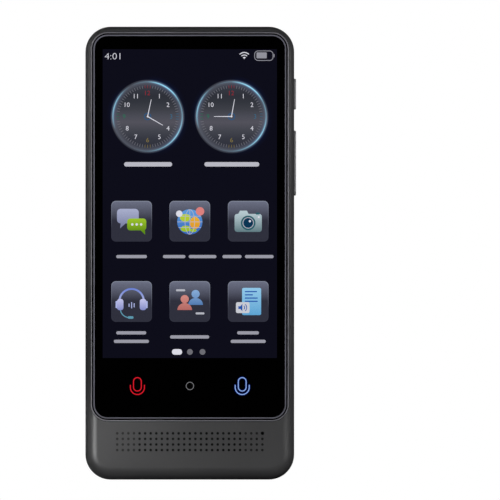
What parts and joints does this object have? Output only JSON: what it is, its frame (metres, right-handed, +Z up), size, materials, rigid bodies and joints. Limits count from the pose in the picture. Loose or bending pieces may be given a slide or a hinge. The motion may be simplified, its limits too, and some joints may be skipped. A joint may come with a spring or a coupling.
{
  "type": "handheld translator",
  "caption": "Slim upright handheld translator with touch screen, touch keys, speaker field, side keys and rear camera island.",
  "frame": {"origin": "middle of the flat bottom edge on which the device stands", "axes": "+X to the right seen from the screen side, +Y from the screen to the back, +Z up along the height"},
  "size_m": [0.0618, 0.0137, 0.133],
  "materials": {
    "housing": "fine satin texture",
    "bezel": "satin",
    "cover_glass": "polished, black printed border behind",
    "adhesive": "matte",
    "screen": "glossy, lit from behind",
    "backlight": "matte",
    "flex": "satin",
    "sheet_metal": "brushed",
    "frame_metal": "cast, matte",
    "screw_steel": "plain",
    "battery_wrap": "satin pouch foil",
    "wire": "satin",
    "board": "satin",
    "chip": "matte",
    "black_plastic": "satin",
    "island": "glossy",
    "camera_glass": "polished",
    "lens_glass": "coated",
    "foam": "matte",
    "cone": "satin",
    "magnet": "plated",
    "mesh": "woven",
    "key_metal": "satin",
    "contact_metal": "plain",
    "switch_plastic": "matte"
  },
  "bodies": {
    "case": {"front_housing": "housing", "rear_cover": "housing", "bezel_ring": "bezel", "glass_panel": "cover_glass", "glass_adhesive": "adhesive", "display_panel": "screen", "display_backlight": "backlight", "display_flex": "flex", "touch_key_board": "flex", "mid_frame": "frame_metal", "frame_screws": "screw_steel", "battery_cell": "battery_wrap", "battery_adhesive": "adhesive", "battery_protection_board": "board", "battery_leads": "wire", "main_board": "board", "processor_chip": "chip", "radio_chip": "chip", "processor_shield": "sheet_metal", "radio_shield": "sheet_metal", "board_screws": "screw_steel", "camera_module": "black_plastic", "camera_lens": "lens_glass", "camera_gasket": "foam", "camera_bezel": "island", "camera_window": "camera_glass", "antenna_flex": "flex", "side_key_bracket": "sheet_metal", "side_key_flex": "flex", "power_switch": "switch_plastic", "volume_switches": "switch_plastic", "power_dome": "contact_metal", "volume_domes": "contact_metal", "usb_board": "board", "usb_c_shell": "sheet_metal", "usb_c_tongue": "black_plastic", "speaker_frame": "black_plastic", "speaker_cone": "cone", "speaker_magnet": "magnet", "speaker_gasket": "foam", "speaker_mesh": "mesh", "microphone": "contact_metal", "mic_boot": "foam", "board_link_flex": "flex"},
    "power_key": {"power_button": "key_metal"},
    "volume_key": {"volume_rocker": "key_metal"}
  },
  "joints": [
    {"name": "power_press", "type": "slide", "parent": "case", "child": "power_key", "axis": [-1, 0, 0], "range_m": [0, 0.00025], "stiffness_N_per_m": 2000, "springref_m": -0.0004, "deforming": ["power_dome"]},
    {"name": "volume_rock", "type": "hinge", "parent": "case", "child": "volume_key", "pos_m": [0.027, -0.0003, 0.09295], "axis": [0, 1, 0], "range_deg": [-1.3, 1.3], "stiffness_Nm_per_rad": 0.3, "deforming": ["volume_domes"]}
  ]
}
